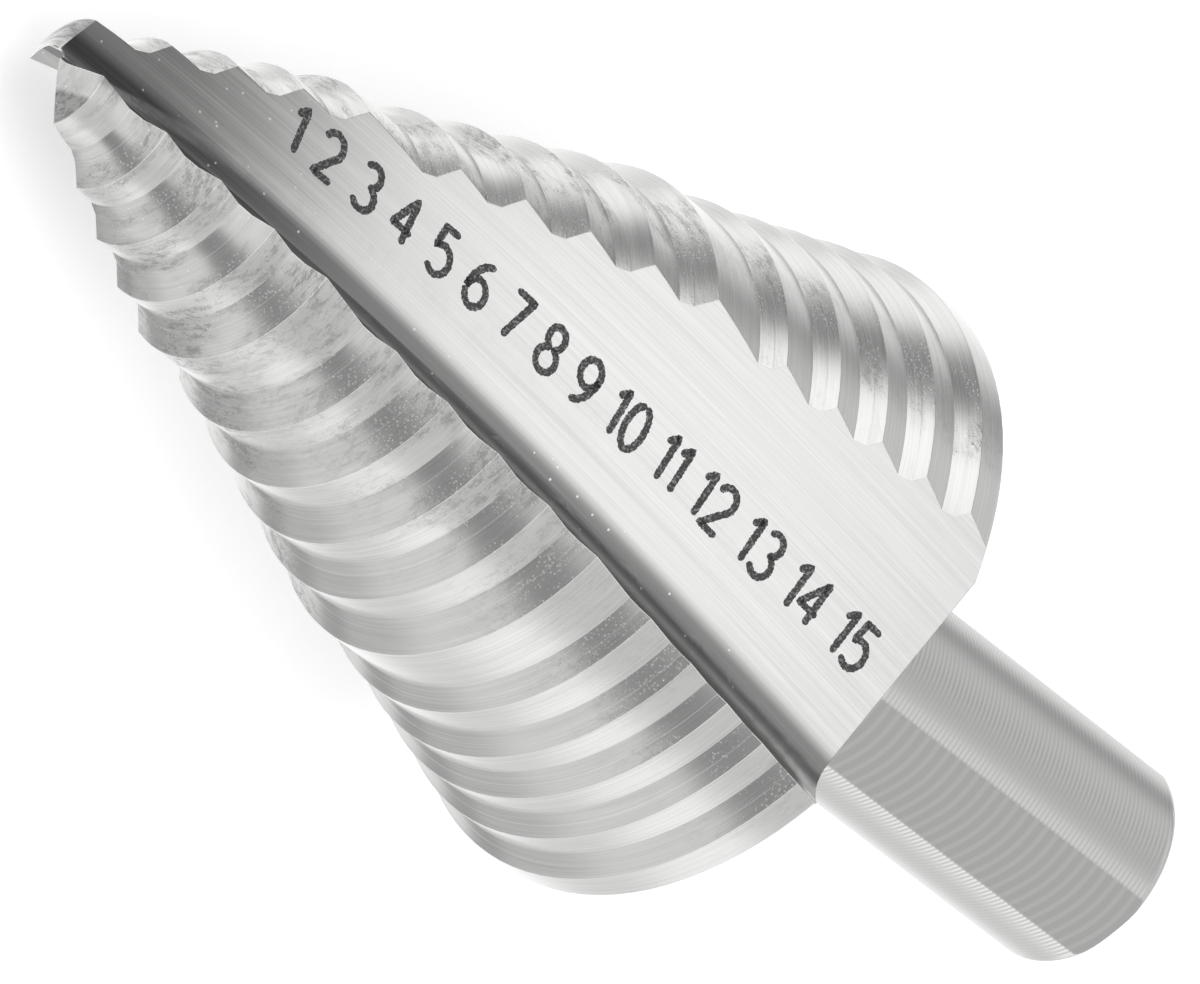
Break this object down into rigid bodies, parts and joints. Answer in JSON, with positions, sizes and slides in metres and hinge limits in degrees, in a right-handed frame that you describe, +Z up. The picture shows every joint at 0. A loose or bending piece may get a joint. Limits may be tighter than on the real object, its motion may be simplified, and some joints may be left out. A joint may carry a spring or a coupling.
{
  "type": "step drill",
  "caption": "Conical stepped drill with two shallow twisted flutes, a pointed tip and a round shank with flats for a drill chuck.",
  "frame": {"origin": "on the surface that the drill lies on, below the centre of its bounding box", "axes": "+X towards the shank, the longest extent, with the point towards -X; +Z up; the drill lies over one flute, with its axis rising 14.4 degrees towards the shank"},
  "size_m": [0.0648, 0.0286, 0.0264],
  "materials": {
    "tool_steel": "bright ground steel, with darker streaked flutes"
  },
  "bodies": {
    "root": {"step_drill": "tool_steel"}
  },
  "joints": []
}
